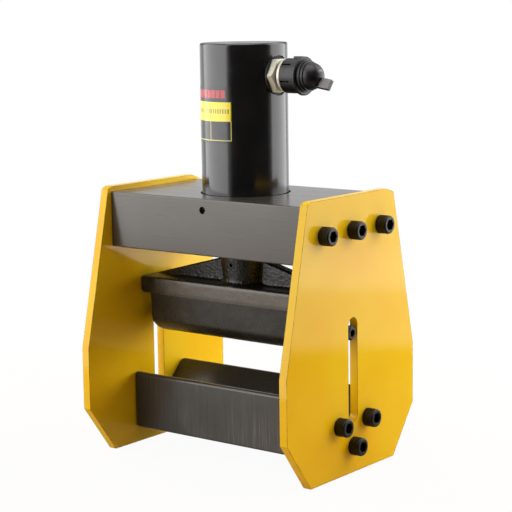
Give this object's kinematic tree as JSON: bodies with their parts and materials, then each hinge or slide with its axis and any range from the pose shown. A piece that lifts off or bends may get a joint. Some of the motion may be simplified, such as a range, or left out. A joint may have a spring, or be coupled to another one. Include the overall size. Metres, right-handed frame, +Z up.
{
  "type": "hydraulic busbar bender",
  "caption": "Bench press for bending flat bar: two side plates, head block with hydraulic cylinder, guided punch on a spring-return ram, grooved die and hose coupler with dust cap.",
  "frame": {"origin": "on the ground under the middle of the bender, halfway between the side plates", "axes": "+Z up along the ram; +X from plate to plate, towards the hose coupler; +Y from front to back, along the bar that is bent"},
  "size_m": [0.2576, 0.197, 0.3813],
  "materials": {
    "yellow_paint": "gloss enamel on cut steel plate",
    "black_paint": "gloss black enamel",
    "dark_steel": "satin blackened steel",
    "cast_iron": "rough blackened casting",
    "black_oxide": "black oxide",
    "hard_chrome": "ground and chromed",
    "zinc_plate": "yellowish zinc plating",
    "spring_steel": "drawn wire",
    "bronze": "machined bronze",
    "black_rubber": "matt",
    "black_plastic": "moulded, slightly glossy"
  },
  "bodies": {
    "frame": {"left_side_plate": "yellow_paint", "right_side_plate": "yellow_paint", "head_block": "dark_steel", "lower_die": "dark_steel", "head_bolt_left_front": "black_oxide", "head_bolt_left_middle": "black_oxide", "head_bolt_left_rear": "black_oxide", "head_bolt_right_front": "black_oxide", "head_bolt_right_middle": "black_oxide", "head_bolt_right_rear": "black_oxide", "die_bolt_left_front": "black_oxide", "die_bolt_left_rear": "black_oxide", "die_bolt_left_lower": "black_oxide", "die_bolt_right_front": "black_oxide", "die_bolt_right_rear": "black_oxide", "die_bolt_right_lower": "black_oxide", "cylinder_tube": "black_paint", "cylinder_set_screw": "black_oxide", "gland_bush": "bronze", "rod_seal": "black_rubber", "rod_wiper": "black_rubber", "return_spring": "spring_steel", "port_seal_washer": "black_rubber", "coupler_nipple": "zinc_plate", "coupler_barrel": "zinc_plate", "coupler_valve_spring": "spring_steel"},
    "ram": {"piston": "dark_steel", "piston_seal": "black_rubber", "piston_guide_ring": "bronze", "piston_rod": "hard_chrome", "upper_punch": "cast_iron", "punch_set_screw": "black_oxide", "guide_screw_left": "black_oxide", "guide_screw_right": "black_oxide"},
    "valve_poppet": {"coupler_poppet": "zinc_plate"},
    "dust_cap": {"dust_cap": "black_plastic"}
  },
  "joints": [
    {"name": "ram_slide", "type": "slide", "parent": "frame", "child": "ram", "axis": [0, 0, -1], "range_m": [0, 0.0558], "stiffness_N_per_m": 3000, "springref_m": -0.037, "deforming": ["return_spring"]},
    {"name": "valve_press", "type": "slide", "parent": "frame", "child": "valve_poppet", "axis": [-1, 0, 0], "range_m": [0, 0.002], "stiffness_N_per_m": 400, "springref_m": -0.002, "deforming": ["coupler_valve_spring"]},
    {"name": "dust_cap_pull", "type": "slide", "parent": "frame", "child": "dust_cap", "axis": [1, 0, 0], "range_m": [0, 0.024]}
  ]
}
